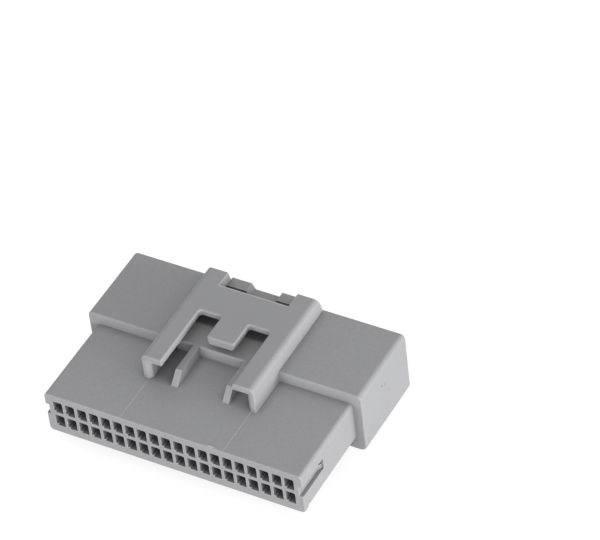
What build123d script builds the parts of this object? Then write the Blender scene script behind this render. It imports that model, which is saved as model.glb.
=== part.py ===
from build123d import *
import os

# Housing and retainer of a two-row wire connector for vehicle looms, in millimetres.
# X runs along the rows, +Y from the wires to the mating mouth, +Z up through the bridge.
# Each piece is modelled with Y from the wire face and Z from the hood's underside,
# and moved at the end so that the origin lies under the middle of the housing.

# Rows of cavities, seen from the wire side
COLUMNS = 20
ROWS = 2
PITCH = 2.2
ROW_PITCH = 2.98
CAVITY_WIDTH = 1.72
CAVITY_HEIGHT = 2.35
CAVITY_CORNER = 0.2
RAIL_WIDTH = 0.36
RAIL_HEIGHT = 0.35
TAB_HOLE = 1.0
TAB_WALL = 2.4

# Terminal block
BLOCK_LENGTH = 17.15
END_WALL = 1.25
FLOOR_WALL = 0.87
ROOF_WALL = 1.22
BLOCK_TOP_RADIUS = 0.65
BLOCK_FLOOR_RADIUS = 0.25
WIRE_EDGE_RADIUS = 0.2

# Rim that hangs below the wire face
RIM_DROP = 0.7
RIM_LENGTH = 1.3
RIM_NECK = 1.1
RIM_CORNER = 0.75

# Groove along each side of the block, with a catch at its inner end
SIDE_GROOVE_FLOOR = 3.05
SIDE_GROOVE_HEIGHT = 2.15
SIDE_GROOVE_DEPTH = 0.7
SIDE_GROOVE_LENGTH = 6.75
CATCH_LENGTH = 0.9
CATCH_HEIGHT = 0.9
CATCH_RISE = 0.35

# Hood round the mating mouth
HOOD_LENGTH = 15.25
HOOD_WALL = 1.25
HOOD_BACK = 1.2
HOOD_SIDE_STEP = 1.65
HOOD_TOP_STEP = 2.0
HOOD_FLOOR_STEP = 2.8
HOOD_TOP_RADIUS = 0.9
HOOD_FLOOR_RADIUS = 1.3
HOOD_EDGE_RADIUS = 0.3
INNER_RADIUS = 0.3
SIDE_RELIEF = 0.1
SIDE_RELIEF_HEIGHT = 4.1

# Guiding grooves in the hood's roof, one for each column
GROOVE_WIDTH = 1.4
GROOVE_DEPTH = 0.55
GROOVE_LENGTH = 5.0

# Keying ribs on the hood's floor: middle in X, width and height
KEYS = (
    (-20.95, 0.7, 1.95),
    (-18.05, 1.15, 1.9),
    (-10.8, 1.35, 1.7),
    (-7.8, 1.05, 1.7),
    (13.6, 1.4, 1.85),
    (18.1, 0.8, 2.15),
    (21.0, 1.1, 2.15),
)
KEY_TIP_RADIUS = 0.25

# Hollow key in the middle of the hood's floor, and the two windows beside it
BOX_KEY_WIDTH = 3.7
BOX_KEY_HEIGHT = 2.0
BOX_KEY_LENGTH = 6.6
BOX_KEY_HOLE_WIDTH = 1.85
BOX_KEY_HOLE_HEIGHT = 1.25
WINDOW_GAP = 0.1
WINDOW_WIDTH = 2.0
WINDOW_LENGTH = 4.65
LEDGE_WIDTH = 1.05
LEDGE_LENGTH = 2.8

# Bridge over the block and the hood
BRIDGE_WIDTH = 20.44
BRIDGE_WALL = 1.52
BRIDGE_RISE = 2.96
BRIDGE_OVERHANG = 7.69
BRIDGE_SETBACK = 1.08
BRIDGE_RADIUS = 1.0
BRIDGE_EDGE_RADIUS = 0.3
PLATE_THICKNESS = 1.1
PLATE_BACK_RADIUS = 0.15
LEG_BEVEL_WIDTH = 0.7
LEG_BEVEL_LENGTH = 0.6
CUTOUT_WIDTH = 12.9
CUTOUT_LENGTH = 12.7
CUTOUT_CORNER = 0.6
TONGUE_WIDTH = 5.0
TONGUE_LENGTH = 5.0
TONGUE_CORNER = 0.4
TONGUE_ROOT = 0.4
TONGUE_CATCH_LENGTH = 1.3
TONGUE_CATCH_DROP = 0.35

# Towers at the mouth end of the bridge, and the low stops between them
TOWER_WIDTH = 3.84
TOWER_LENGTH = 3.0
STOP_WIDTH = 4.45
STOP_HEIGHT = 0.93
STOP_LENGTH = 1.95
STOP_SLOPE = 0.85

# Guide ribs on the block, under the bridge
GUIDE_GAP = 8.2
GUIDE_WIDTH = 1.1
GUIDE_SLANT = 1.95

# Retainer in the block's underside
RETAINER_WIDTH = 44.9
RETAINER_START = 4.3
RETAINER_LENGTH = 5.75
RETAINER_TRAVEL = 0.7
RETAINER_CLEARANCE = 0.15
PAD_RISE = 0.3
PAD_BEVEL = 1.0
RETAINER_CORNER = 0.9
STRIP_SINK = 0.1
STRIP_WIDTH = 1.45
STRIP_SPACING = 19.6
TEETH = 18
TOOTH_PITCH = 2.55
TOOTH_WIDTH = 0.7
TOOTH_LENGTH = 0.4
TOOTH_SHIFT = 0.25
NOTCHES = 3
NOTCH_SPACING = 15.45
NOTCH_WIDTH = 1.4
NOTCH_LENGTH = 0.5
COMB_START = 5.0
COMB_LENGTH = 3.5

# Worked out from the sizes above
LENGTH = BLOCK_LENGTH + HOOD_LENGTH
BLOCK_HALF = COLUMNS * PITCH / 2 + END_WALL
BLOCK_FLOOR = HOOD_FLOOR_STEP
CAVITY_FLOOR = BLOCK_FLOOR + FLOOR_WALL
CAVITY_ROOF = CAVITY_FLOOR + (ROWS - 1) * ROW_PITCH + CAVITY_HEIGHT
BLOCK_TOP = CAVITY_ROOF + ROOF_WALL
HOOD_HALF = BLOCK_HALF + HOOD_SIDE_STEP
HOOD_TOP = BLOCK_TOP + HOOD_TOP_STEP
INNER_HALF = HOOD_HALF - HOOD_WALL
INNER_START = BLOCK_LENGTH + HOOD_BACK
BRIDGE_START = BLOCK_LENGTH - BRIDGE_OVERHANG
BRIDGE_END = LENGTH - BRIDGE_SETBACK
BRIDGE_TOP = HOOD_TOP + BRIDGE_RISE
TUNNEL_HALF = BRIDGE_WIDTH / 2 - BRIDGE_WALL
TOWER_START = BRIDGE_END - TOWER_LENGTH
TOWER_INNER = BRIDGE_WIDTH / 2 - TOWER_WIDTH
RETAINER_END = RETAINER_START + RETAINER_LENGTH
RETAINER_STROKE = RETAINER_TRAVEL + RETAINER_CLEARANCE


def slab(x, y, z):
    """Block between the limits given for each direction."""
    limits = (x, y, z)
    middle = [(low + high) / 2 for low, high in limits]
    return Pos(*middle) * Box(*[high - low for low, high in limits])


def along_y(outline, start, end):
    """Outline drawn in X and Z, carried from one Y to another."""
    return extrude(Plane.XZ.offset(-start) * outline, start - end)


def along_x(outline, start, end):
    """Outline drawn in Y and Z, carried from one X to another."""
    return extrude(Plane.YZ.offset(start) * outline, end - start)


def upright(outline, low, high):
    """Outline drawn in X and Y, carried from one Z to another."""
    return extrude(Pos(0, 0, low) * outline, high - low)


def both_sides(part):
    """A piece on the +X side with its mirror image."""
    return part + mirror(part, Plane.YZ)


def rounded_outline(half, low, high, low_radius, high_radius):
    """Section in X and Z, with one radius at its lower corners and one at its upper ones."""
    outline = Pos(0, (low + high) / 2) * Rectangle(2 * half, high - low)
    outline = fillet(outline.vertices().group_by(Axis.Y)[-1], high_radius)
    return fillet(outline.vertices().group_by(Axis.Y)[0], low_radius)


def cavity_places():
    """Middle of each cavity in X and Z."""
    middle = (CAVITY_FLOOR + CAVITY_ROOF) / 2
    return Pos(0, middle) * GridLocations(PITCH, ROW_PITCH, COLUMNS, ROWS)


def cavity_outline():
    """One cavity: a bevelled upper corner, and a rail in the lower one across from it."""
    outline = Rectangle(CAVITY_WIDTH, CAVITY_HEIGHT)
    corner = outline.vertices().group_by(Axis.Y)[-1].sort_by(Axis.X)[-1]
    outline = chamfer(corner, CAVITY_CORNER)
    rail_x = (RAIL_WIDTH - CAVITY_WIDTH) / 2
    rail_z = (RAIL_HEIGHT - CAVITY_HEIGHT) / 2
    return outline - Pos(rail_x, rail_z) * Rectangle(RAIL_WIDTH, RAIL_HEIGHT)


def cavities():
    """Wire passages, and the smaller holes that lead each contact's tab into the hood."""
    end = INNER_START - TAB_WALL
    places = cavity_places()
    passages = along_y(Sketch() + [place * cavity_outline() for place in places], 0, end)
    holes = along_y(Sketch() + [place * Rectangle(TAB_HOLE, TAB_HOLE) for place in places], end, INNER_START)
    return passages + holes


def rim():
    """Bead that hangs below the wire face, with rounded ends."""
    low = BLOCK_FLOOR - RIM_DROP
    outline = Pos(0, (low + CAVITY_FLOOR) / 2) * Rectangle(2 * BLOCK_HALF, CAVITY_FLOOR - low)
    outline = fillet(outline.vertices().group_by(Axis.Y)[0], RIM_CORNER)
    bead = along_y(outline, 0, RIM_LENGTH)
    back = bead.edges().group_by(Axis.Y)[-1].filter_by(Axis.X).sort_by(Axis.Z)[0]
    return fillet(back, WIRE_EDGE_RADIUS)


def rim_neck():
    """Hollow curve by which the bead runs out into the block's underside."""
    start = RIM_LENGTH
    end = RIM_LENGTH + RIM_NECK
    foot = BLOCK_FLOOR - RIM_DROP / 2
    hollow = ThreePointArc(
        (start, foot), (start + RIM_NECK * 0.35, foot + RIM_DROP * 0.36), (end, BLOCK_FLOOR)
    )
    edges = hollow + Polyline((end, BLOCK_FLOOR), (end, CAVITY_FLOOR), (start, CAVITY_FLOOR), (start, foot))
    half = BLOCK_HALF - BLOCK_FLOOR_RADIUS
    return along_x(make_face(edges), -half, half)


def block():
    """Terminal block behind the hood, with a rounded edge all round its wire face."""
    outline = rounded_outline(BLOCK_HALF, BLOCK_FLOOR, BLOCK_TOP, BLOCK_FLOOR_RADIUS, BLOCK_TOP_RADIUS)
    part = along_y(outline, 0, INNER_START) + rim()
    return fillet(part.edges().group_by(Axis.Y)[0], WIRE_EDGE_RADIUS) + rim_neck()


def side_groove():
    """Groove from the wire face along the +X side of the block."""
    low = BLOCK_FLOOR + SIDE_GROOVE_FLOOR
    floor_x = BLOCK_HALF - SIDE_GROOVE_DEPTH
    groove = slab((floor_x, BLOCK_HALF), (0, SIDE_GROOVE_LENGTH), (low, low + SIDE_GROOVE_HEIGHT))
    wedge = Polyline(
        (floor_x, SIDE_GROOVE_LENGTH - CATCH_LENGTH),
        (floor_x + CATCH_RISE, SIDE_GROOVE_LENGTH),
        (floor_x, SIDE_GROOVE_LENGTH),
        close=True,
    )
    return groove - upright(make_face(wedge), low, low + CATCH_HEIGHT)


def hood():
    """Hood, still solid, with its edges rounded."""
    shell = along_y(
        rounded_outline(HOOD_HALF, 0, HOOD_TOP, HOOD_FLOOR_RADIUS, HOOD_TOP_RADIUS), BLOCK_LENGTH, LENGTH
    )
    rims = shell.edges().group_by(Axis.Y)
    return fillet(rims[0] + rims[-1], HOOD_EDGE_RADIUS)


def mouth():
    """Space in the hood for the mating half, a little wider in the middle of each side."""
    ceiling = HOOD_TOP - HOOD_WALL
    inner = rounded_outline(INNER_HALF, HOOD_WALL, ceiling, INNER_RADIUS, INNER_RADIUS)
    relief = Pos(0, (HOOD_WALL + ceiling) / 2) * Rectangle(
        2 * (INNER_HALF + SIDE_RELIEF), SIDE_RELIEF_HEIGHT
    )
    return along_y(inner + relief, INNER_START, LENGTH)


def roof_grooves():
    """Grooves that open at the mouth, in line with the columns of the mating half."""
    top = HOOD_TOP - HOOD_WALL + GROOVE_DEPTH
    depth = GROOVE_DEPTH + INNER_RADIUS
    outline = Pos(0, top - depth / 2) * Rectangle(GROOVE_WIDTH, depth)
    places = GridLocations(PITCH, 0, COLUMNS, 1)
    return along_y(Sketch() + [place * outline for place in places], LENGTH - GROOVE_LENGTH, LENGTH)


def keys():
    """Keying ribs along the hood's floor, each with a rounded tip."""
    outlines = []
    for middle, width, height in KEYS:
        low = HOOD_WALL / 2
        rib = Rectangle(width, HOOD_WALL - low + height)
        radius = min(KEY_TIP_RADIUS, 0.45 * width)
        rib = fillet(rib.vertices().group_by(Axis.Y)[-1], radius)
        outlines.append(Pos(middle, (low + HOOD_WALL + height) / 2) * rib)
    return along_y(Sketch() + outlines, BLOCK_LENGTH + HOOD_BACK / 2, LENGTH)


def box_key():
    """Hollow key in the middle of the hood's floor."""
    low = HOOD_WALL / 2
    high = HOOD_WALL + BOX_KEY_HEIGHT
    outline = Pos(0, (low + high) / 2) * Rectangle(BOX_KEY_WIDTH, high - low)
    hole = Pos(0, HOOD_WALL + BOX_KEY_HOLE_HEIGHT / 2) * Rectangle(
        BOX_KEY_HOLE_WIDTH, BOX_KEY_HOLE_HEIGHT
    )
    return along_y(outline - hole, LENGTH - BOX_KEY_LENGTH, LENGTH)


def windows():
    """Two windows in the hood's floor beside the hollow key, one with a ledge left in it."""
    start = LENGTH - BOX_KEY_LENGTH
    end = start + WINDOW_LENGTH
    inner = BOX_KEY_WIDTH / 2 + WINDOW_GAP
    opening = slab((inner, inner + WINDOW_WIDTH), (start, end), (0, HOOD_WALL))
    ledge_start = (start + end - LEDGE_LENGTH) / 2
    ledge = slab((-inner - LEDGE_WIDTH, -inner), (ledge_start, ledge_start + LEDGE_LENGTH), (0, HOOD_WALL))
    return both_sides(opening) - ledge


def bridge_shell():
    """Bridge with its two walls, before its front and the tongue are shaped."""
    half = BRIDGE_WIDTH / 2
    outline = Pos(0, (BLOCK_TOP + BRIDGE_TOP) / 2) * Rectangle(2 * half, BRIDGE_TOP - BLOCK_TOP)
    outline = fillet(outline.vertices().group_by(Axis.Y)[-1], BRIDGE_RADIUS)
    shell = along_y(outline, BRIDGE_START, LENGTH)
    ceiling = BRIDGE_TOP - PLATE_THICKNESS
    tunnel = slab((-TUNNEL_HALF, TUNNEL_HALF), (BRIDGE_START, TOWER_START), (BLOCK_TOP, ceiling))
    gap = slab((-TOWER_INNER, TOWER_INNER), (TOWER_START, LENGTH), (BLOCK_TOP, BRIDGE_TOP))
    slant = Polyline(
        (BRIDGE_END, BRIDGE_TOP),
        (LENGTH, BRIDGE_TOP),
        (LENGTH, BLOCK_TOP),
        (LENGTH - HOOD_EDGE_RADIUS, BLOCK_TOP),
        (LENGTH - HOOD_EDGE_RADIUS, HOOD_TOP),
        close=True,
    )
    return shell - tunnel - gap - along_x(make_face(slant), -half, half)


def cutout():
    """Opening between the arms, seen from above, with the tongue standing in it."""
    end = BRIDGE_START + CUTOUT_LENGTH
    opening = Pos(0, BRIDGE_START + CUTOUT_LENGTH / 2) * Rectangle(CUTOUT_WIDTH, CUTOUT_LENGTH)
    opening = fillet(opening.vertices().group_by(Axis.Y)[-1], CUTOUT_CORNER)
    tongue = Pos(0, end - TONGUE_LENGTH / 2) * Rectangle(TONGUE_WIDTH, TONGUE_LENGTH)
    tongue = fillet(tongue.vertices().group_by(Axis.Y)[0], TONGUE_CORNER)
    opening -= tongue
    root = opening.vertices().filter_by_position(Axis.X, -TONGUE_WIDTH / 2, TONGUE_WIDTH / 2)
    return fillet(root.group_by(Axis.Y)[-1], TONGUE_ROOT)


def tongue_catch():
    """Wedge under the tongue's tip, which holds the mating half."""
    tip = BRIDGE_START + CUTOUT_LENGTH - TONGUE_LENGTH
    ceiling = BRIDGE_TOP - PLATE_THICKNESS
    outline = Polyline(
        (tip, ceiling),
        (tip, ceiling - TONGUE_CATCH_DROP),
        (tip + TONGUE_CATCH_LENGTH, ceiling),
        close=True,
    )
    half = TONGUE_WIDTH / 2 - TONGUE_CORNER
    return along_x(make_face(outline), -half, half)


def bridge():
    """Bridge with bevelled legs, arms, tongue and towers."""
    shell = bridge_shell()
    shell -= extrude(Pos(0, 0, BLOCK_TOP) * cutout(), BRIDGE_TOP - BLOCK_TOP)
    top_edges = shell.edges().group_by(Axis.Z)[-1]
    across = top_edges.filter_by_position(Axis.X, -TUNNEL_HALF, TUNNEL_HALF)
    front = across.filter_by_position(Axis.Y, BRIDGE_START, TOWER_START - BRIDGE_EDGE_RADIUS)
    shell = fillet(front, BRIDGE_EDGE_RADIUS)
    crosswise = shell.edges().group_by(Axis.Z)[-1].filter_by(Axis.X)
    near_towers = (TOWER_START - PLATE_BACK_RADIUS, TOWER_START + PLATE_BACK_RADIUS)
    shell = fillet(crosswise.filter_by_position(Axis.Y, *near_towers), PLATE_BACK_RADIUS)
    bevel = Polyline(
        (TUNNEL_HALF, BRIDGE_START),
        (TUNNEL_HALF + LEG_BEVEL_WIDTH, BRIDGE_START),
        (TUNNEL_HALF, BRIDGE_START + LEG_BEVEL_LENGTH),
        close=True,
    )
    ceiling = BRIDGE_TOP - PLATE_THICKNESS
    cut = extrude(Pos(0, 0, BLOCK_TOP) * make_face(bevel), ceiling - BLOCK_TOP)
    return shell - both_sides(cut) + tongue_catch()


def stops():
    """Low stops between the towers, flush with the mouth."""
    low = HOOD_TOP - HOOD_WALL / 2
    high = HOOD_TOP + STOP_HEIGHT
    inner = TOWER_INNER - STOP_WIDTH
    outline = Polyline(
        (TOWER_INNER, low),
        (TOWER_INNER, high),
        (inner + STOP_SLOPE, high),
        (inner, low),
        close=True,
    )
    stop = along_y(make_face(outline), LENGTH - STOP_LENGTH, LENGTH)
    return both_sides(stop)


def guides():
    """Two ribs on the block that end in a slanted front."""
    outline = Polyline(
        (BRIDGE_START, BLOCK_TOP),
        (BRIDGE_START + GUIDE_SLANT, HOOD_TOP),
        (BLOCK_LENGTH + HOOD_BACK / 2, HOOD_TOP),
        (BLOCK_LENGTH + HOOD_BACK / 2, BLOCK_TOP - ROOF_WALL / 2),
        (BRIDGE_START, BLOCK_TOP - ROOF_WALL / 2),
        close=True,
    )
    rib = along_x(make_face(outline), GUIDE_GAP / 2, GUIDE_GAP / 2 + GUIDE_WIDTH)
    return both_sides(rib)


def teeth(width, start, end):
    """Outline of the retainer's row of teeth, seen from above."""
    tooth = Pos(TOOTH_SHIFT, (start + end) / 2) * Rectangle(width, end - start)
    return Sketch() + [place * tooth for place in GridLocations(TOOTH_PITCH, 0, TEETH, 1)]


def notches(width, start, end):
    """Outline of the notches in the retainer's edge towards the wires, seen from above."""
    notch = Pos(0, (start + end) / 2) * Rectangle(width, end - start)
    return Sketch() + [place * notch for place in GridLocations(NOTCH_SPACING, 0, NOTCHES, 1)]


def rounded_plate(growth):
    """Retainer's plate seen from above, with its corners towards the wires rounded."""
    length = RETAINER_LENGTH + 2 * growth
    plate = Pos(0, RETAINER_START + RETAINER_LENGTH / 2) * Rectangle(RETAINER_WIDTH + 2 * growth, length)
    return fillet(plate.vertices().group_by(Axis.Y)[0], RETAINER_CORNER)


def plate_outline(growth):
    """Retainer's plate with its teeth, grown all round by a clearance."""
    plate = rounded_plate(growth)
    row = teeth(TOOTH_WIDTH + 2 * growth, RETAINER_END, RETAINER_END + TOOTH_LENGTH + growth)
    return plate + row


def comb_floor():
    """Lowest level of the comb's bar, which is the roof of the lower cavities."""
    return CAVITY_FLOOR + CAVITY_HEIGHT


def comb_top():
    """Highest level of the comb's bar, which is the floor of the upper cavities."""
    return CAVITY_FLOOR + ROW_PITCH


def retainer_seat():
    """Recess for the retainer's plate, and the slot for its comb across every cavity."""
    recess_top = CAVITY_FLOOR + RETAINER_STROKE
    recess = upright(plate_outline(RETAINER_CLEARANCE), BLOCK_FLOOR, recess_top)
    tabs = notches(
        NOTCH_WIDTH - 2 * RETAINER_CLEARANCE,
        RETAINER_START - RETAINER_CLEARANCE,
        RETAINER_START + NOTCH_LENGTH - RETAINER_CLEARANCE,
    )
    half = COLUMNS * PITCH / 2 + RETAINER_CLEARANCE
    slot = slab(
        (-half, half),
        (COMB_START - RETAINER_CLEARANCE, COMB_START + COMB_LENGTH + RETAINER_CLEARANCE),
        (CAVITY_FLOOR, comb_top() + RETAINER_STROKE),
    )
    return recess + slot - upright(tabs, BLOCK_FLOOR, CAVITY_FLOOR)


def housing():
    """Grey moulding, hollowed for the contacts, the retainer and the mating half."""
    part = hood() + block() + bridge() + stops() + guides()
    part -= side_groove() + mirror(side_groove(), Plane.YZ) + mouth()
    part += keys()
    part += box_key()
    part -= cavities() + roof_grooves() + windows()
    return part - retainer_seat()


def pads():
    """Raised pads of the retainer, each bevelled down to the strips at its ends."""
    low = BLOCK_FLOOR - PAD_RISE
    high = CAVITY_FLOOR
    half = RETAINER_WIDTH / 2
    strip_inner = (STRIP_SPACING - STRIP_WIDTH) / 2
    strip_outer = (STRIP_SPACING + STRIP_WIDTH) / 2
    spans = ((-half, -strip_outer), (-strip_inner, strip_inner), (strip_outer, half))
    shoulder = BLOCK_FLOOR + STRIP_SINK
    part = Part()
    for left, right in spans:
        outline = Polyline(
            (left, high),
            (left, shoulder),
            (left + PAD_BEVEL, low),
            (right - PAD_BEVEL, low),
            (right, shoulder),
            (right, high),
            close=True,
        )
        part += along_y(make_face(outline), RETAINER_START, RETAINER_END)
    return part & upright(rounded_plate(0), low, high)


def comb():
    """Ribs between the columns, joined by a bar that lies between the two rows."""
    end = COMB_START + COMB_LENGTH
    rib_width = PITCH - CAVITY_WIDTH
    ribs = Part()
    for place in GridLocations(PITCH, 0, COLUMNS - 1, 1):
        middle = place.position.X
        ribs += slab(
            (middle - rib_width / 2, middle + rib_width / 2),
            (COMB_START, end),
            (CAVITY_FLOOR - FLOOR_WALL / 2, comb_top()),
        )
    half = COLUMNS * PITCH / 2
    bar = slab((-half, half), (COMB_START, end), (comb_floor(), comb_top()))
    return ribs + bar


def retainer():
    """White moulding: toothed plate, three pads and a comb."""
    plate = upright(plate_outline(0), BLOCK_FLOOR + STRIP_SINK, CAVITY_FLOOR)
    part = plate + pads() + comb()
    cuts = notches(NOTCH_WIDTH, RETAINER_START, RETAINER_START + NOTCH_LENGTH)
    return part - upright(cuts, BLOCK_FLOOR - PAD_RISE, CAVITY_FLOOR)


def main():
    os.makedirs("parts", exist_ok=True)
    centre = Pos(0, -LENGTH / 2, 0)
    for name, piece in (("housing", housing()), ("retainer", retainer())):
        export_step(centre * piece, f"parts/{name}.step")


main()
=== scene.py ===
import math

import bmesh
import bpy
from bpy.props import FloatProperty, FloatVectorProperty, PointerProperty
from bpy.types import Operator, Panel, PropertyGroup
from mathutils import Matrix, Vector


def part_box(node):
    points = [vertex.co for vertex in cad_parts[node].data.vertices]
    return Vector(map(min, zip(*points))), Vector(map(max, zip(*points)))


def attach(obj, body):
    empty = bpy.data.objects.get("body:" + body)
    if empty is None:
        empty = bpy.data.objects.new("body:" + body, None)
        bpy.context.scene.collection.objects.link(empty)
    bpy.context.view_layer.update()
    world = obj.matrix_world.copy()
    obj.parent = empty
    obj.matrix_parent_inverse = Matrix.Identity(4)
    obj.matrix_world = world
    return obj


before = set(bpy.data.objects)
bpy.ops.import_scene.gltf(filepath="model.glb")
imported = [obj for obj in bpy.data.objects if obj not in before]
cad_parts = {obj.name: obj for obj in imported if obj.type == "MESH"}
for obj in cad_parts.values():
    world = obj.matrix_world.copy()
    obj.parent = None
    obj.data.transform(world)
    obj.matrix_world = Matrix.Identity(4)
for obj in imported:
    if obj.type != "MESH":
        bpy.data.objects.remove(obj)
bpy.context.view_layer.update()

bl_info = {
    "name": "Wire connector finishes",
    "version": (1, 0, 0),
    "blender": (4, 5, 0),
    "location": "3D View > Sidebar > Connector",
    "description": "Moulded plastic, mould marks and a studio for a two-row wire connector",
    "category": "Object",
}

# Places on the housing, in metres
HOUSING_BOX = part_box("housing")
WIRE_FACE = HOUSING_BOX[0].y
BRIDGE_TOP = HOUSING_BOX[1].z
BLOCK_TOP = 0.01022
LEG_FRONT = WIRE_FACE + 0.00946
TOWER_START = WIRE_FACE + 0.02832
TOWER_INNER = 0.00638
BRIDGE_HALF = 0.01022


# Properties that a user would change


class HousingFinish(PropertyGroup):
    """Grey plastic of the housing."""

    colour: FloatVectorProperty(
        name="Colour",
        description="Colour of the moulded plastic",
        subtype="COLOR",
        size=3,
        min=0.0,
        max=1.0,
        default=(0.330, 0.331, 0.341),
    )
    roughness: FloatProperty(
        name="Roughness",
        description="How matt the surface is, before its small variation",
        subtype="FACTOR",
        min=0.0,
        max=1.0,
        default=0.62,
    )
    grain_size: FloatProperty(
        name="Grain size",
        description="Width of one grain of the eroded mould surface",
        subtype="DISTANCE",
        unit="LENGTH",
        default=0.00022,
    )
    grain_depth: FloatProperty(
        name="Grain depth",
        description="Height of the grain",
        subtype="DISTANCE",
        unit="LENGTH",
        default=0.000012,
    )
    mottle: FloatProperty(
        name="Mottle",
        description="How much the colour varies over a surface",
        subtype="FACTOR",
        min=0.0,
        max=1.0,
        default=0.11,
    )
    edge_radius: FloatProperty(
        name="Edge radius",
        description="Radius at which every moulded edge catches the light",
        subtype="DISTANCE",
        unit="LENGTH",
        default=0.00007,
    )
    # Painted highlight: the plastic's colour is made paler along its outer edges
    edge_light: FloatProperty(
        name="Edge light",
        description="How much paler the plastic looks along its outer edges",
        min=0.0,
        default=0.95,
    )
    edge_width: FloatProperty(
        name="Edge width",
        description="How far the paler tone reaches from an outer edge",
        subtype="DISTANCE",
        unit="LENGTH",
        default=0.00014,
    )
    # Painted shade: the plastic's colour is made darker in corners and narrow spaces
    corner_shade: FloatProperty(
        name="Corner shade",
        description="How much darker the plastic looks in its corners and narrow spaces",
        subtype="FACTOR",
        min=0.0,
        max=1.0,
        default=0.5,
    )
    shade_reach: FloatProperty(
        name="Shade reach",
        description="How far from a corner the darker tone reaches",
        subtype="DISTANCE",
        unit="LENGTH",
        default=0.0016,
    )


class RetainerFinish(PropertyGroup):
    """White plastic of the retainer."""

    colour: FloatVectorProperty(
        name="Colour",
        description="Colour of the natural white plastic",
        subtype="COLOR",
        size=3,
        min=0.0,
        max=1.0,
        default=(0.74, 0.75, 0.76),
    )
    roughness: FloatProperty(
        name="Roughness",
        description="How matt the surface is, before its small variation",
        subtype="FACTOR",
        min=0.0,
        max=1.0,
        default=0.5,
    )
    depth: FloatProperty(
        name="Light depth",
        description="How far light spreads inside the plastic",
        subtype="DISTANCE",
        unit="LENGTH",
        default=0.0004,
    )


class MouldMarks(PropertyGroup):
    """Lines that the parts of the mould leave on the housing."""

    line_place: FloatProperty(
        name="Line place",
        description="Distance of each parting line from the middle of the block",
        subtype="DISTANCE",
        unit="LENGTH",
        default=0.0093,
    )
    line_width: FloatProperty(
        name="Line width",
        description="Width of a parting line",
        subtype="DISTANCE",
        unit="LENGTH",
        default=0.00012,
    )
    line_height: FloatProperty(
        name="Line height",
        description="Height of a parting line above the surface",
        subtype="DISTANCE",
        unit="LENGTH",
        default=0.00001,
    )
    # Painted highlight: how much paler the parting lines and the flash are coloured than the
    # plastic
    painted_highlight: FloatProperty(
        name="Paleness",
        description="Tone of a parting line against the plastic beside it",
        min=0.0,
        default=1.32,
    )


class StudioLook(PropertyGroup):
    """Floor, light and camera."""

    floor_colour: FloatVectorProperty(
        name="Floor colour",
        description="Colour of the floor",
        subtype="COLOR",
        size=3,
        min=0.0,
        max=1.0,
        default=(0.35, 0.35, 0.35),
    )
    sky_strength: FloatProperty(
        name="Sky strength",
        description="Brightness of the light from all round",
        min=0.0,
        default=0.631,
    )
    side_light: FloatProperty(
        name="Side light",
        description="Power of the large lamp at the +X side",
        subtype="POWER",
        unit="POWER",
        default=3.05,
    )
    corner_light: FloatProperty(
        name="Corner light",
        description="Power of the large lamp before the corner of the wire side and the +X side",
        subtype="POWER",
        unit="POWER",
        default=0.85,
    )
    front_light: FloatProperty(
        name="Front light",
        description="Power of the large lamp before the wire side",
        subtype="POWER",
        unit="POWER",
        default=1.52,
    )
    azimuth: FloatProperty(
        name="Camera azimuth",
        description="Angle of the camera round the object from the wire side",
        subtype="ANGLE",
        unit="ROTATION",
        default=math.radians(33.327),
    )
    elevation: FloatProperty(
        name="Camera elevation",
        description="Angle of the camera above the floor",
        subtype="ANGLE",
        unit="ROTATION",
        default=math.radians(43.401),
    )
    roll: FloatProperty(
        name="Camera roll",
        description="Turn of the picture",
        subtype="ANGLE",
        unit="ROTATION",
        default=-0.12862,
    )
    distance: FloatProperty(
        name="Camera distance",
        description="Distance from the camera to the object",
        subtype="DISTANCE",
        unit="LENGTH",
        default=0.60875,
    )
    lens: FloatProperty(
        name="Lens",
        description="Focal length, in millimetres",
        default=230.44,
    )


# Small helpers for node trees

# Mix node's sockets by number, because each kind of data has its own of the same name
MIX_FACTOR = 0
MIX_NUMBERS = (2, 3)
MIX_COLOURS = (6, 7)
MIXED_NUMBER = 0
MIXED_COLOUR = 2


def feed(tree, value, socket):
    """Links a socket to another, or gives it a plain value."""
    if isinstance(value, bpy.types.NodeSocket):
        tree.links.new(value, socket)
    else:
        socket.default_value = value


def add_node(tree, kind, inputs=None, **settings):
    """A node with its settings, and its inputs by name or number."""
    node = tree.nodes.new(kind)
    for name, value in settings.items():
        setattr(node, name, value)
    for key, value in (inputs or {}).items():
        feed(tree, value, node.inputs[key])
    return node


def calc(tree, operation, *operands):
    """Result of one step of arithmetic."""
    node = add_node(tree, "ShaderNodeMath", operation=operation)
    for operand, socket in zip(operands, node.inputs):
        feed(tree, operand, socket)
    return node.outputs[0]


def vector_calc(tree, operation, *operands):
    """Result of one step of arithmetic with vectors, which may be a number."""
    node = add_node(tree, "ShaderNodeVectorMath", operation=operation)
    for operand, socket in zip(operands, node.inputs):
        feed(tree, operand, socket)
    gives_number = operation in ("DISTANCE", "DOT_PRODUCT")
    return node.outputs["Value" if gives_number else "Vector"]


def noise(tree, place, scale, detail):
    """Noise from 0 to 1."""
    inputs = {"Vector": place, "Scale": scale, "Detail": detail}
    return add_node(tree, "ShaderNodeTexNoise", inputs).outputs[0]


def ramp(tree, value, start, end, low=0.0, high=1.0):
    """A smooth change from low to high while a value goes from start to end."""
    inputs = {"Value": value, "From Min": start, "From Max": end, "To Min": low, "To Max": high}
    return add_node(tree, "ShaderNodeMapRange", inputs, interpolation_type="SMOOTHSTEP").outputs[0]


def grey(tone):
    """A colour with the same tone in each channel."""
    return (tone, tone, tone, 1.0)


def tint(tree, colour, factor, amount=1.0):
    """A colour multiplied by another, all over or where a mask says."""
    inputs = {MIX_FACTOR: amount, **dict(zip(MIX_COLOURS, (colour, factor)))}
    node = add_node(tree, "ShaderNodeMix", inputs, data_type="RGBA", blend_type="MULTIPLY")
    return node.outputs[MIXED_COLOUR]


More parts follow.
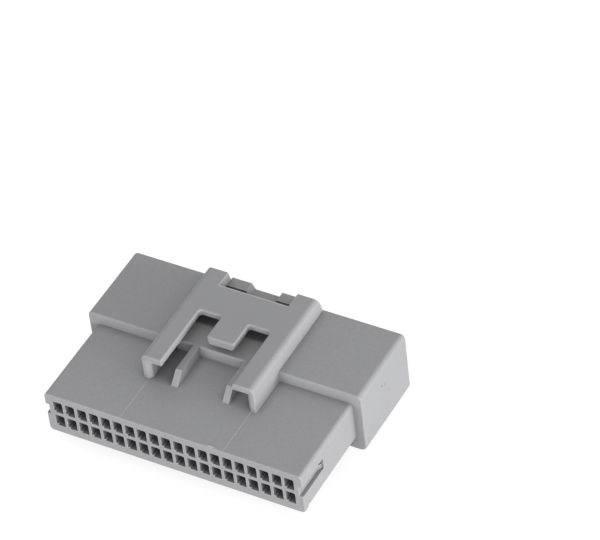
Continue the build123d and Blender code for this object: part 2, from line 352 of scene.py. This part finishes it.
def mixed_number(tree, first, second, amount):
    """A number between two others, as a mask says."""
    inputs = {MIX_FACTOR: amount, **dict(zip(MIX_NUMBERS, (first, second)))}
    return add_node(tree, "ShaderNodeMix", inputs, data_type="FLOAT").outputs[MIXED_NUMBER]


def new_group(name, inputs, outputs):
    """An empty shader group with its sockets, and its two end nodes."""
    tree = bpy.data.node_groups.new(name, "ShaderNodeTree")
    for label, kind, default in inputs:
        socket = tree.interface.new_socket(label, in_out="INPUT", socket_type=kind)
        socket.default_value = default
    for label, kind in outputs:
        tree.interface.new_socket(label, in_out="OUTPUT", socket_type=kind)
    start = tree.nodes.new("NodeGroupInput")
    end = tree.nodes.new("NodeGroupOutput")
    return tree, start.outputs, end.inputs


def use_group(tree, group, **values):
    """A group placed in a material, with its inputs by name."""
    node = tree.nodes.new("ShaderNodeGroup")
    node.node_tree = group
    for name, value in values.items():
        feed(tree, value, node.inputs[name.replace("_", " ")])
    return node.outputs


def object_place(tree):
    """Place on the object, in metres."""
    return add_node(tree, "ShaderNodeTexCoord").outputs["Object"]


# Effects that the materials use more than once

# Scale of the coarse grain and of the slow drift against the fine grain's, their detail, and
# the coarse grain's height against the fine grain's
COARSE_SCALE = 0.3
DRIFT_SCALE = 0.02
GRAIN_DETAIL = 2.0
DRIFT_DETAIL = 3.0
COARSE_HEIGHT = 0.5

# Strength of the fine dots against the slow drift of tone, and how much the gloss drifts
DOT_STRENGTH = 3.0
GLOSS_DRIFT = 0.12

# Part of a mark's radius that has its full tone
MARK_CORE = 0.4


def moulded_grain():
    """Fine grain of an eroded mould surface, and the slow drift of its tone."""
    tree, given, made = new_group(
        "Moulded grain",
        [("Size", "NodeSocketFloat", 0.0002), ("Mottle", "NodeSocketFloat", 0.05)],
        [("Height", "NodeSocketFloat"), ("Tone", "NodeSocketFloat"), ("Gloss", "NodeSocketFloat")],
    )
    place = object_place(tree)
    scale = calc(tree, "DIVIDE", 1.0, given["Size"])
    fine = noise(tree, place, scale, GRAIN_DETAIL)
    coarse = noise(tree, place, calc(tree, "MULTIPLY", scale, COARSE_SCALE), GRAIN_DETAIL)
    slow = noise(tree, place, calc(tree, "MULTIPLY", scale, DRIFT_SCALE), DRIFT_DETAIL)
    tree.links.new(calc(tree, "MULTIPLY_ADD", coarse, COARSE_HEIGHT, fine), made["Height"])
    drift = calc(tree, "SUBTRACT", slow, 0.5)
    dots = calc(tree, "MULTIPLY", calc(tree, "SUBTRACT", fine, 0.5), DOT_STRENGTH)
    tone = calc(tree, "MULTIPLY_ADD", calc(tree, "ADD", drift, dots), given["Mottle"], 1.0)
    tree.links.new(tone, made["Tone"])
    tree.links.new(calc(tree, "MULTIPLY", drift, GLOSS_DRIFT), made["Gloss"])
    return tree


def disc(tree, distance, radius):
    """Mask of a round spot with a soft edge."""
    return ramp(tree, distance, calc(tree, "MULTIPLY", radius, MARK_CORE), radius, 1.0, 0.0)


def scattered_specks():
    """Rare small specks, each in its own cell."""
    tree, given, made = new_group(
        "Scattered specks",
        [
            ("Spacing", "NodeSocketFloat", 0.002),
            ("Size", "NodeSocketFloat", 0.0001),
            ("Share", "NodeSocketFloat", 0.1),
        ],
        [("Mask", "NodeSocketFloat")],
    )
    scale = calc(tree, "DIVIDE", 1.0, given["Spacing"])
    cells = add_node(tree, "ShaderNodeTexVoronoi", {"Vector": object_place(tree), "Scale": scale})
    reach = calc(tree, "DIVIDE", given["Size"], given["Spacing"])
    near = disc(tree, cells.outputs["Distance"], reach)
    chosen = add_node(tree, "ShaderNodeSeparateColor", {"Color": cells.outputs["Color"]})
    rare = calc(tree, "LESS_THAN", chosen.outputs[0], given["Share"])
    tree.links.new(calc(tree, "MULTIPLY", near, rare), made["Mask"])
    return tree


def round_mark():
    """Mask of one round mark at a given place."""
    tree, given, made = new_group(
        "Round mark",
        [("Centre", "NodeSocketVector", (0.0, 0.0, 0.0)), ("Radius", "NodeSocketFloat", 0.0002)],
        [("Mask", "NodeSocketFloat")],
    )
    apart = vector_calc(tree, "DISTANCE", object_place(tree), given["Centre"])
    tree.links.new(disc(tree, apart, given["Radius"]), made["Mask"])
    return tree


def inner_space():
    """Mask that grows with the depth inside a box-shaped space."""
    tree, given, made = new_group(
        "Inner space",
        [
            ("Middle", "NodeSocketVector", (0.0, 0.0, 0.0)),
            ("Half size", "NodeSocketVector", (1.0, 1.0, 1.0)),
            ("Inward", "NodeSocketVector", (0.0, 1.0, 0.0)),
            ("Fade from", "NodeSocketFloat", 0.0),
            ("Fade to", "NodeSocketFloat", 1.0),
        ],
        [("Mask", "NodeSocketFloat")],
    )
    place = object_place(tree)
    away = vector_calc(tree, "SUBTRACT", place, given["Middle"])
    away = vector_calc(tree, "ABSOLUTE", away)
    inside = vector_calc(tree, "SUBTRACT", given["Half size"], away)
    inside = vector_calc(tree, "SIGN", inside)
    x, y, z = add_node(tree, "ShaderNodeSeparateXYZ", {0: inside}).outputs
    held = calc(tree, "MINIMUM", calc(tree, "MINIMUM", x, y), z)
    held = calc(tree, "MAXIMUM", held, 0.0)
    along = vector_calc(tree, "DOT_PRODUCT", place, given["Inward"])
    depth = ramp(tree, along, given["Fade from"], given["Fade to"])
    tree.links.new(calc(tree, "MULTIPLY", depth, held), made["Mask"])
    return tree


GROUPS = {}


def shared(maker):
    """The group of one effect, built the first time it is asked for."""
    if maker.__name__ not in GROUPS:
        GROUPS[maker.__name__] = maker()
    return GROUPS[maker.__name__]


# Materials

# Samples of the nodes that look at the surface round a point
OCCLUSION_SAMPLES = 12
BEVEL_SAMPLES = 6

# Small marks in the housing's surface: place, radius, tone
HOUSING_MARKS = (
    ((0.0249, 0.00753, 0.00874), 0.00026, 0.45),
    ((0.0249, 0.00834, 0.00844), 0.00024, 0.50),
    ((0.0249, 0.00951, 0.00824), 0.00062, 0.975),
    ((-0.00962, -0.00266, 0.01518), 0.00018, 1.30),
    ((-0.00596, 0.00856, 0.01518), 0.00016, 1.16),
    ((0.01022, 0.00912, 0.01282), 0.00022, 0.55),
    ((0.02111, -0.01299, 0.01022), 0.00022, 0.86),
)

# Scattered specks: mean distance, size, share of the places that have one, and colour
HOUSING_SPECKS = (
    (0.0016, 0.00009, 0.05, (0.82, 0.82, 0.83, 1.0)),
    (0.0021, 0.00008, 0.05, (1.14, 1.14, 1.14, 1.0)),
)
RETAINER_SPECKS = ((0.0022, 0.00009, 0.08, (0.88, 0.87, 0.85, 1.0)),)

# Fine pale lines on the bridge: middle, half size and tone. One crosses each tower where two parts
# of the mould meet; the one along the back of the plate between them is a painted highlight on
# that edge's fillet.
TOWER_MIDDLE = (TOWER_INNER + BRIDGE_HALF) / 2
TOWER_HALF = (BRIDGE_HALF - TOWER_INNER) / 2
MOULD_LINES_AND_EDGE_HIGHLIGHT = (
    ((-TOWER_MIDDLE, TOWER_START, BRIDGE_TOP), (TOWER_HALF, 0.00006, 0.0004), 1.1),
    ((TOWER_MIDDLE, TOWER_START, BRIDGE_TOP), (TOWER_HALF, 0.00006, 0.0004), 1.1),
    # Painted highlight along the plate's back edge
    ((0.0, TOWER_START - 0.00011, BRIDGE_TOP), (TOWER_INNER, 0.00015, 0.0004), 1.55),
)

# Directions in which a space's painted shade grows darker
TO_MOUTH = (0.0, 1.0, 0.0)
TO_WIRES = (0.0, -1.0, 0.0)
DOWN = (0.0, 0.0, -1.0)

# Start and end of a fade that is over before the part begins, so that a mask is whole
NO_FADE = (-1.0, -0.9)

# Painted shade in spaces that little light reaches: middle, half size, direction inward, where
# the painted shade starts and ends along it, and tone. The first three lie under the arms and the
# plate of the bridge, the next two before the stops, then come the cavities, the mouth and the
# foot of each wall.
PAINTED_SHADE_SPACES = (
    ((-0.0070, -0.0029, 0.0120), (0.00185, 0.0040, 0.0019), TO_MOUTH, -0.0080, -0.0050, 0.66),
    ((0.0070, -0.0029, 0.0120), (0.00185, 0.0040, 0.0019), TO_MOUTH, -0.0080, -0.0050, 0.82),
    ((0.0, 0.0088, 0.01300), (0.0088, 0.0033, 0.0012), TO_MOUTH, 0.0052, 0.0062, 0.36),
    ((-0.0042, 0.0132, 0.01265), (0.00222, 0.0011, 0.00046), TO_MOUTH, 0.0116, 0.0120, 0.45),
    ((0.0042, 0.0132, 0.01265), (0.00222, 0.0011, 0.00046), TO_MOUTH, 0.0116, 0.0120, 0.45),
    ((0.0, -0.0068, 0.00634), (0.0219, 0.00938, 0.00272), TO_MOUTH, -0.0164, -0.0151, 0.42),
    ((0.0, 0.00905, 0.00638), (0.0238, 0.00714, 0.00517), TO_WIRES, -0.0158, -0.0080, 0.5),
    ((-0.01022, -0.00287, 0.01198), (0.0003, 0.00382, 0.00175), DOWN, -0.01342, -0.01072, 0.76),
    ((0.01022, -0.00287, 0.01198), (0.0003, 0.00382, 0.00175), DOWN, -0.01342, -0.01072, 0.76),
)

# Retainer's grain, how much light goes into it and how far in each channel, and its edges
RETAINER_GRAIN = 0.0003
RETAINER_GRAIN_DEPTH = 0.000005
RETAINER_MOTTLE = 0.04
RETAINER_SUBSURFACE = 0.25
RETAINER_SPREAD = (1.0, 0.9, 0.8)
RETAINER_EDGE_RADIUS = 0.00015

# Floor's finish, and its own light where it shows as the background
FLOOR_ROUGHNESS = 0.9
FLOOR_GLOSS = 0.1
FLOOR_GLOW = 0.8


def new_material(name):
    """A material with only its shader and output."""
    material = bpy.data.materials.new(name)
    material.use_nodes = True
    tree = material.node_tree
    tree.nodes.clear()
    shader = add_node(tree, "ShaderNodeBsdfPrincipled")
    output = add_node(tree, "ShaderNodeOutputMaterial")
    tree.links.new(shader.outputs[0], output.inputs["Surface"])
    return material, tree, shader


def specked(tree, colour, specks):
    """A colour with its scattered specks."""
    for spacing, size, share, speck in specks:
        outputs = use_group(tree, shared(scattered_specks), Spacing=spacing, Size=size, Share=share)
        colour = tint(tree, colour, speck, amount=outputs["Mask"])
    return colour


def toned_space(tree, colour, middle, half, inward, start, end, tone):
    """A colour with another tone inside a box-shaped space."""
    outputs = use_group(
        tree,
        shared(inner_space),
        Middle=middle,
        Half_size=half,
        Inward=inward,
        Fade_from=start,
        Fade_to=end,
    )
    return tint(tree, colour, grey(tone), amount=outputs["Mask"])


def occlusion(tree, distance, inside=False):
    """How open a surface is to its surroundings, or how thick the plastic is beneath it."""
    node = add_node(
        tree,
        "ShaderNodeAmbientOcclusion",
        {"Distance": distance},
        samples=OCCLUSION_SAMPLES,
        inside=inside,
        only_local=True,
    )
    return node.outputs["AO"]


def painted_edge_light_and_shade(tree, finish):
    """Painted highlight along outer edges and painted shade in corners, both from ambient
    occlusion.
    """
    thin = calc(tree, "SUBTRACT", 1.0, occlusion(tree, finish.edge_width, inside=True))
    bright = calc(tree, "MULTIPLY_ADD", thin, finish.edge_light, 1.0)
    openness = occlusion(tree, finish.shade_reach)
    shade = calc(tree, "MULTIPLY_ADD", openness, finish.corner_shade, 1.0 - finish.corner_shade)
    return calc(tree, "MULTIPLY", bright, shade)


def moulded_normal(tree, grain, depth, radius):
    """Grain over softened edges."""
    soft = add_node(tree, "ShaderNodeBevel", {"Radius": radius}, samples=BEVEL_SAMPLES)
    inputs = {
        "Strength": 1.0,
        "Distance": depth,
        "Height": grain["Height"],
        "Normal": soft.outputs[0],
    }
    return add_node(tree, "ShaderNodeBump", inputs).outputs[0]


def pale_plastic(finish, painted_highlight):
    """The housing's plastic for thin beads and slivers, coloured paler as a painted highlight on
    them.
    """
    material, tree, shader = new_material("pale_plastic")
    grain = use_group(tree, shared(moulded_grain), Size=finish.grain_size, Mottle=finish.mottle)
    tone = calc(tree, "MULTIPLY", grain["Tone"], painted_highlight)
    tree.links.new(tint(tree, (*finish.colour, 1.0), tone), shader.inputs["Base Color"])
    shader.inputs["Roughness"].default_value = finish.roughness
    return material


def housing_plastic(finish):
    """Matt grey polyester: grain, pits, specks, softened edges, painted edge highlights and painted
    shade.
    """
    material, tree, shader = new_material("housing_plastic")
    grain = use_group(tree, shared(moulded_grain), Size=finish.grain_size, Mottle=finish.mottle)
    colour = tint(tree, (*finish.colour, 1.0), grain["Tone"])
    for centre, radius, tone in HOUSING_MARKS:
        mask = use_group(tree, shared(round_mark), Centre=centre, Radius=radius)["Mask"]
        colour = tint(tree, colour, grey(tone), amount=mask)
    # Mould lines across the towers, and a painted highlight along the plate's back edge
    for middle, half, tone in MOULD_LINES_AND_EDGE_HIGHLIGHT:
        colour = toned_space(tree, colour, middle, half, TO_MOUTH, *NO_FADE, tone)
    colour = specked(tree, colour, HOUSING_SPECKS)
    # Painted shade, darker with depth in each space that little light reaches
    for space in PAINTED_SHADE_SPACES:
        colour = toned_space(tree, colour, *space)
    # Painted highlight on outer edges and painted shade in corners
    colour = tint(tree, colour, painted_edge_light_and_shade(tree, finish))
    tree.links.new(colour, shader.inputs["Base Color"])
    roughness = calc(tree, "ADD", grain["Gloss"], finish.roughness)
    tree.links.new(roughness, shader.inputs["Roughness"])
    normal = moulded_normal(tree, grain, finish.grain_depth, finish.edge_radius)
    tree.links.new(normal, shader.inputs["Normal"])
    return material


def retainer_plastic(finish):
    """Natural white polyester, a little translucent."""
    material, tree, shader = new_material("retainer_plastic")
    grain = use_group(tree, shared(moulded_grain), Size=RETAINER_GRAIN, Mottle=RETAINER_MOTTLE)
    colour = tint(tree, (*finish.colour, 1.0), grain["Tone"])
    colour = specked(tree, colour, RETAINER_SPECKS)
    tree.links.new(colour, shader.inputs["Base Color"])
    roughness = calc(tree, "ADD", grain["Gloss"], finish.roughness)
    tree.links.new(roughness, shader.inputs["Roughness"])
    shader.inputs["Subsurface Weight"].default_value = RETAINER_SUBSURFACE
    shader.inputs["Subsurface Radius"].default_value = RETAINER_SPREAD
    shader.inputs["Subsurface Scale"].default_value = finish.depth
    normal = moulded_normal(tree, grain, RETAINER_GRAIN_DEPTH, RETAINER_EDGE_RADIUS)
    tree.links.new(normal, shader.inputs["Normal"])
    return material


def background_rays(tree):
    """Mask of the rays that show the background: from the camera, a gloss or a clear material."""
    rays = add_node(tree, "ShaderNodeLightPath")
    seen = calc(tree, "MAXIMUM", rays.outputs["Is Camera Ray"], rays.outputs["Is Glossy Ray"])
    return calc(tree, "MAXIMUM", seen, rays.outputs["Is Transmission Ray"])


def floor_paint(colour):
    """White floor that keeps the object's soft shadow."""
    material, tree, shader = new_material("floor_paint")
    shader.inputs["Base Color"].default_value = (*colour, 1.0)
    shader.inputs["Roughness"].default_value = FLOOR_ROUGHNESS
    shader.inputs["Specular IOR Level"].default_value = FLOOR_GLOSS
    shader.inputs["Emission Color"].default_value = grey(1.0)
    glow = calc(tree, "MULTIPLY", background_rays(tree), FLOOR_GLOW)
    tree.links.new(glow, shader.inputs["Emission Strength"])
    return material


# Pieces

# Where each parting line starts on the block, and how deep it is sunk
LINE_START = WIRE_FACE + 0.0004
LINE_SINK = 0.00002

# Sliver of flash on the wire face's upper edge: middle and half size
FLASH_MIDDLE = (0.0070, WIRE_FACE + 0.00035, BLOCK_TOP - 0.00006)
FLASH_HALF = (0.00085, 0.00022, 0.00014)


def finished_piece(name, mesh, body, material):
    """An object at the origin that carries a mesh, its finish and its body."""
    data = bpy.data.meshes.new(name)
    mesh.to_mesh(data)
    mesh.free()
    piece = bpy.data.objects.new(name, data)
    bpy.context.scene.collection.objects.link(piece)
    data.materials.append(material)
    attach(piece, body)


def bar(mesh, low, high, bevel):
    """A block between two corners with its upper edges rounded."""
    size = Vector(high) - Vector(low)
    middle = (Vector(high) + Vector(low)) / 2
    shape = Matrix.Translation(middle) @ Matrix.Diagonal((*size, 1.0))
    made = bmesh.ops.create_cube(mesh, size=1.0, matrix=shape)
    edges = {edge for vert in made["verts"] for edge in vert.link_edges}
    upper = [e for e in edges if all(v.co.z > middle.z for v in e.verts)]
    bmesh.ops.bevel(
        mesh, geom=upper, offset=bevel, affect="EDGES", segments=2, profile=0.5, material=-1
    )


def sliver(mesh, middle, half):
    """A smooth rounded sliver."""
    shape = Matrix.Translation(middle) @ Matrix.Diagonal((*half, 1.0))
    bmesh.ops.create_icosphere(mesh, subdivisions=3, radius=1.0, matrix=shape)
    for face in mesh.faces:
        face.smooth = True


# Stage

# Half the floor's side, and its distance below the housing
FLOOR_HALF = 1.5
FLOOR_GAP = 0.00002

# Low, wide softboxes: name, setting that gives the power, and azimuth in degrees, where 0 is the
# wire side and 90 the +X side
LAMPS = (
    ("side_softbox", "side_light", 90),
    ("corner_softbox", "corner_light", 45),
    ("front_softbox", "front_light", 0),
)
LAMP_ELEVATION = 7
LAMP_WIDTH = 0.45
LAMP_HEIGHT = 0.12
LAMP_DISTANCE = 0.6
LAMP_AIM = Vector((0.0, 0.0, 0.006))

# Point that the camera's angles turn about, and how far it lies right of the picture's middle
# and below it
AIM = Vector((0.0, WIRE_FACE + 0.017, 0.010995))
AIM_RIGHT = -0.012318
AIM_DOWN = 0.014283
SENSOR_WIDTH = 36.0
CLIP_START = 0.01
CLIP_END = 10.0


def lay_floor(studio):
    """Floor just below the housing."""
    mesh = bmesh.new()
    bmesh.ops.create_grid(mesh, x_segments=1, y_segments=1, size=FLOOR_HALF)
    level = HOUSING_BOX[0].z - FLOOR_GAP
    bmesh.ops.translate(mesh, verts=mesh.verts, vec=(0.0, 0.0, level))
    data = bpy.data.meshes.new("floor")
    mesh.to_mesh(data)
    mesh.free()
    data.materials.append(floor_paint(studio.floor_colour))
    floor = bpy.data.objects.new("floor", data)
    bpy.context.scene.collection.objects.link(floor)


def light_sky(studio):
    """Even light from all round, behind a white background."""
    world = bpy.data.worlds.new("studio")
    world.use_nodes = True
    tree = world.node_tree
    tree.nodes.clear()
    strength = mixed_number(tree, studio.sky_strength, 1.0, background_rays(tree))
    light = {"Color": grey(1.0), "Strength": strength}
    sky = add_node(tree, "ShaderNodeBackground", light)
    output = add_node(tree, "ShaderNodeOutputWorld")
    tree.links.new(sky.outputs[0], output.inputs["Surface"])
    bpy.context.scene.world = world


def place_lamp(name, power, azimuth):
    """A softbox that faces the object."""
    data = bpy.data.lights.new(name, "AREA")
    data.shape = "RECTANGLE"
    data.size = LAMP_WIDTH
    data.size_y = LAMP_HEIGHT
    data.energy = power
    lamp = bpy.data.objects.new(name, data)
    bpy.context.scene.collection.objects.link(lamp)
    a, e = math.radians(azimuth), math.radians(LAMP_ELEVATION)
    away = Vector((math.sin(a) * math.cos(e), -math.cos(a) * math.cos(e), math.sin(e)))
    lamp.location = LAMP_AIM + away * LAMP_DISTANCE
    lamp.rotation_mode = "QUATERNION"
    lamp.rotation_quaternion = away.to_track_quat("Z", "Y")


def view_axes(studio):
    """The camera's right, up and backward directions."""
    a, e = studio.azimuth, studio.elevation
    back = Vector((math.sin(a) * math.cos(e), -math.cos(a) * math.cos(e), math.sin(e)))
    right = Vector((math.cos(a), math.sin(a), 0.0))
    down = right.cross(back)
    turned = math.cos(studio.roll) * right - math.sin(studio.roll) * down
    lowered = math.sin(studio.roll) * right + math.cos(studio.roll) * down
    return turned, -lowered, back


def place_camera(studio):
    """Camera at the angle of the photograph's lower view."""
    right, up, back = view_axes(studio)
    data = bpy.data.cameras.new("camera")
    data.lens = studio.lens
    data.sensor_width = SENSOR_WIDTH
    data.clip_start = CLIP_START
    data.clip_end = CLIP_END
    camera = bpy.data.objects.new("camera", data)
    bpy.context.scene.collection.objects.link(camera)
    turn = Matrix((right, up, back)).transposed()
    place = AIM - right * AIM_RIGHT + up * AIM_DOWN + back * studio.distance
    camera.matrix_world = Matrix.Translation(place) @ turn.to_4x4()
    bpy.context.scene.camera = camera


# Operators


def finish_node(name, material):
    """Gives a node of the part its only material."""
    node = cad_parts[name]
    node.data.materials.clear()
    node.data.materials.append(material)


class CONNECTOR_OT_finish_housing(Operator):
    """Gives the housing its grey moulded plastic"""

    bl_idname = "connector.finish_housing"
    bl_label = "Finish the Housing"

    def execute(self, context):
        finish_node("housing", housing_plastic(context.scene.connector_housing))
        return {"FINISHED"}


class CONNECTOR_OT_finish_retainer(Operator):
    """Gives the retainer its white moulded plastic"""

    bl_idname = "connector.finish_retainer"
    bl_label = "Finish the Retainer"

    def execute(self, context):
        finish_node("retainer", retainer_plastic(context.scene.connector_retainer))
        return {"FINISHED"}


class CONNECTOR_OT_add_parting_lines(Operator):
    """Adds the fine lines that the mould's parts leave on the block"""

    bl_idname = "connector.add_parting_lines"
    bl_label = "Add the Parting Lines"

    def execute(self, context):
        marks = context.scene.connector_marks
        # Parting lines with a painted highlight on their ridge
        material = pale_plastic(context.scene.connector_housing, marks.painted_highlight)
        half = marks.line_width / 2
        for side, name in ((-1, "left"), (1, "right")):
            middle = side * marks.line_place
            low = (middle - half, LINE_START, BLOCK_TOP - LINE_SINK)
            high = (middle + half, LEG_FRONT, BLOCK_TOP + marks.line_height)
            mesh = bmesh.new()
            bar(mesh, low, high, marks.line_height)
            finished_piece(f"parting_line_{name}", mesh, "housing", material)
        return {"FINISHED"}


class CONNECTOR_OT_add_flash(Operator):
    """Adds the sliver of flash on the wire face's upper edge"""

    bl_idname = "connector.add_flash"
    bl_label = "Add the Flash"

    def execute(self, context):
        mesh = bmesh.new()
        sliver(mesh, FLASH_MIDDLE, FLASH_HALF)
        # The flash has the same painted highlight
        material = bpy.data.materials["pale_plastic"]
        finished_piece("edge_flash", mesh, "housing", material)
        return {"FINISHED"}


class CONNECTOR_OT_set_stage(Operator):
    """Sets the floor, the light and the camera"""

    bl_idname = "connector.set_stage"
    bl_label = "Set the Stage"

    def execute(self, context):
        studio = context.scene.connector_studio
        lay_floor(studio)
        light_sky(studio)
        for name, setting, azimuth in LAMPS:
            place_lamp(name, getattr(studio, setting), azimuth)
        place_camera(studio)
        context.scene.view_settings.view_transform = "Standard"
        return {"FINISHED"}


class CONNECTOR_PT_steps(Panel):
    """Lists the steps and their settings"""

    bl_idname = "CONNECTOR_PT_steps"
    bl_label = "Wire Connector"
    bl_space_type = "VIEW_3D"
    bl_region_type = "UI"
    bl_category = "Connector"

    def draw(self, context):
        for group, operators in PANEL_ROWS:
            box = self.layout.box()
            settings = getattr(context.scene, group)
            for name in settings.bl_rna.properties.keys():
                if name not in ("rna_type", "name"):
                    box.prop(settings, name)
            for operator in operators:
                box.operator(operator)


PANEL_ROWS = (
    ("connector_housing", ("connector.finish_housing",)),
    ("connector_retainer", ("connector.finish_retainer",)),
    ("connector_marks", ("connector.add_parting_lines", "connector.add_flash")),
    ("connector_studio", ("connector.set_stage",)),
)

SETTINGS = {
    "connector_housing": HousingFinish,
    "connector_retainer": RetainerFinish,
    "connector_marks": MouldMarks,
    "connector_studio": StudioLook,
}

CLASSES = (
    *SETTINGS.values(),
    CONNECTOR_OT_finish_housing,
    CONNECTOR_OT_finish_retainer,
    CONNECTOR_OT_add_parting_lines,
    CONNECTOR_OT_add_flash,
    CONNECTOR_OT_set_stage,
    CONNECTOR_PT_steps,
)


def register():
    """Adds the classes and the settings that the scene keeps."""
    for cls in CLASSES:
        bpy.utils.register_class(cls)
    for name, cls in SETTINGS.items():
        setattr(bpy.types.Scene, name, PointerProperty(type=cls))


def unregister():
    """Takes them away again."""
    for name in SETTINGS:
        delattr(bpy.types.Scene, name)
    for cls in reversed(CLASSES):
        bpy.utils.unregister_class(cls)


def main():
    """Runs the steps in order."""
    register()
    bpy.ops.connector.finish_housing()
    bpy.ops.connector.finish_retainer()
    bpy.ops.connector.add_parting_lines()
    bpy.ops.connector.add_flash()
    bpy.ops.connector.set_stage()


if __name__ == "__main__":
    main()
